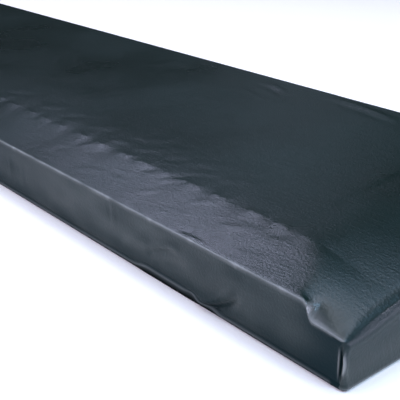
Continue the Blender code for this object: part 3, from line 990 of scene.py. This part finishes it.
cover = buildCover()
cover.data.materials.append(satinCloth())
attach(cover, "root")
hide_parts("cover_cloth")
print("cloth built:", len(cover.data.polygons), "faces")

floorValues = {
    "size": 14.0,
    "drop": 0.0002,             # how far it lies under the hem
    "colour": (0.97, 0.94, 0.90, 1.0),
    "roughness": 0.9,
    "gloss": 0.1,
}


def buildFloor():
    bm = bmesh.new()
    bmesh.ops.create_grid(bm, x_segments=1, y_segments=1, size=floorValues["size"] / 2)
    mesh = bpy.data.meshes.new("studioFloor")
    bm.to_mesh(mesh)
    bm.free()
    mesh.transform(Matrix.Translation((0.0, 0.0, -floorValues["drop"])))
    floor = bpy.data.objects.new("studio_floor", mesh)
    bpy.context.scene.collection.objects.link(floor)
    material = bpy.data.materials.new("paleFloor")
    material.use_nodes = True
    shader = material.node_tree.nodes["Principled BSDF"]
    shader.inputs["Base Color"].default_value = floorValues["colour"]
    shader.inputs["Roughness"].default_value = floorValues["roughness"]
    shader.inputs["Specular IOR Level"].default_value = floorValues["gloss"]
    mesh.materials.append(material)


buildFloor()

# Softboxes: turn from the right end round by the back and rise over the floor in degrees, then distance,
# width and height in metres, and brightness and tint of the face
Softbox = namedtuple("Softbox", "turn rise away width height glow tint")
lightAim = (0.35, -0.05, 0.06)
lightValues = {
    "keyLeft": Softbox(165.0, 47.5, 2.6, 0.65, 0.65, 8.0, (0.96, 0.97, 1.30)),
    "keyRight": Softbox(152.4, 51.6, 2.4, 0.50, 0.50, 5.15, (1.02, 0.98, 1.28)),
    "backRight": Softbox(131.0, 28.0, 2.2, 0.60, 0.60, 0.50, (0.86, 0.98, 1.26)),
    "overhead": Softbox(90.0, 88.0, 2.4, 1.60, 1.60, 3.4, (1.00, 0.97, 1.06)),
    "frontLeft": Softbox(241.0, 38.0, 2.2, 2.10, 0.65, 4.9, (0.96, 0.94, 1.22)),
    "frontRight": Softbox(300.0, 5.0, 2.2, 1.80, 0.45, 5.0, (0.98, 0.95, 1.18)),
    "frontHigh": Softbox(305.0, 42.0, 2.2, 1.00, 0.80, 2.0, (1.00, 0.94, 1.20)),
    "lowLeft": Softbox(215.0, 22.0, 2.2, 0.60, 0.60, 4.2, (0.90, 1.00, 1.26)),
    "backHigh": Softbox(90.0, 66.0, 2.2, 0.75, 0.75, 2.8, (0.68, 1.00, 1.40)),
    "endHigh": Softbox(30.0, 66.0, 2.2, 0.75, 0.75, 3.9, (0.92, 0.98, 1.24)),
    "endRight": Softbox(0.0, 45.0, 2.2, 0.75, 0.75, 12.0, (0.66, 0.98, 1.34)),
    "endBack": Softbox(45.0, 30.0, 2.2, 0.75, 0.75, 1.0, (0.84, 0.98, 1.36)),
    "endLow": Softbox(16.0, 3.5, 2.2, 1.90, 0.24, 22.0, (1.00, 0.92, 1.16)),
    "frontLow": Softbox(242.0, 6.0, 2.2, 0.90, 0.42, 4.0, (0.98, 0.96, 1.18)),
}


def addSoftbox(name, box):
    data = bpy.data.lights.new(name, "AREA")
    data.shape = "RECTANGLE"
    data.size, data.size_y = box.width, box.height
    data.energy = box.glow * math.pi * box.width * box.height
    data.color = box.tint
    turn, rise = math.radians(box.turn), math.radians(box.rise)
    towards = Vector((math.cos(turn) * math.cos(rise), math.sin(turn) * math.cos(rise), math.sin(rise)))
    lamp = bpy.data.objects.new(name, data)
    lamp.location = Vector(lightAim) + towards * box.away
    lamp.rotation_euler = (-towards).to_track_quat("-Z", "Y").to_euler()
    bpy.context.scene.collection.objects.link(lamp)


for name, box in lightValues.items():
    addSoftbox(name, box)

airValues = {"colour": (0.9, 0.95, 1.0, 1.0), "strength": 0.02}
world = bpy.data.worlds.new("studioAir")
bpy.context.scene.world = world
world.use_nodes = True
air = world.node_tree.nodes["Background"]
air.inputs["Color"].default_value = airValues["colour"]
air.inputs["Strength"].default_value = airValues["strength"]

cameraValues = {
    "at": (0.89568, -0.47039, 0.30123),
    "look": (-0.7027, 0.5934, -0.3928),
    "lens": 72.4,
    "sensor": 36.0,
    "clip": (0.01, 60.0),
}
cameraData = bpy.data.cameras.new("studioCamera")
cameraData.lens = cameraValues["lens"]
cameraData.sensor_width = cameraValues["sensor"]
cameraData.clip_start, cameraData.clip_end = cameraValues["clip"]
camera = bpy.data.objects.new("studioCamera", cameraData)
camera.location = cameraValues["at"]
camera.rotation_euler = Vector(cameraValues["look"]).to_track_quat("-Z", "Y").to_euler()
bpy.context.scene.collection.objects.link(camera)
bpy.context.scene.camera = camera
bpy.context.scene.view_settings.view_transform = "Standard"
print("floor, lights and camera set")
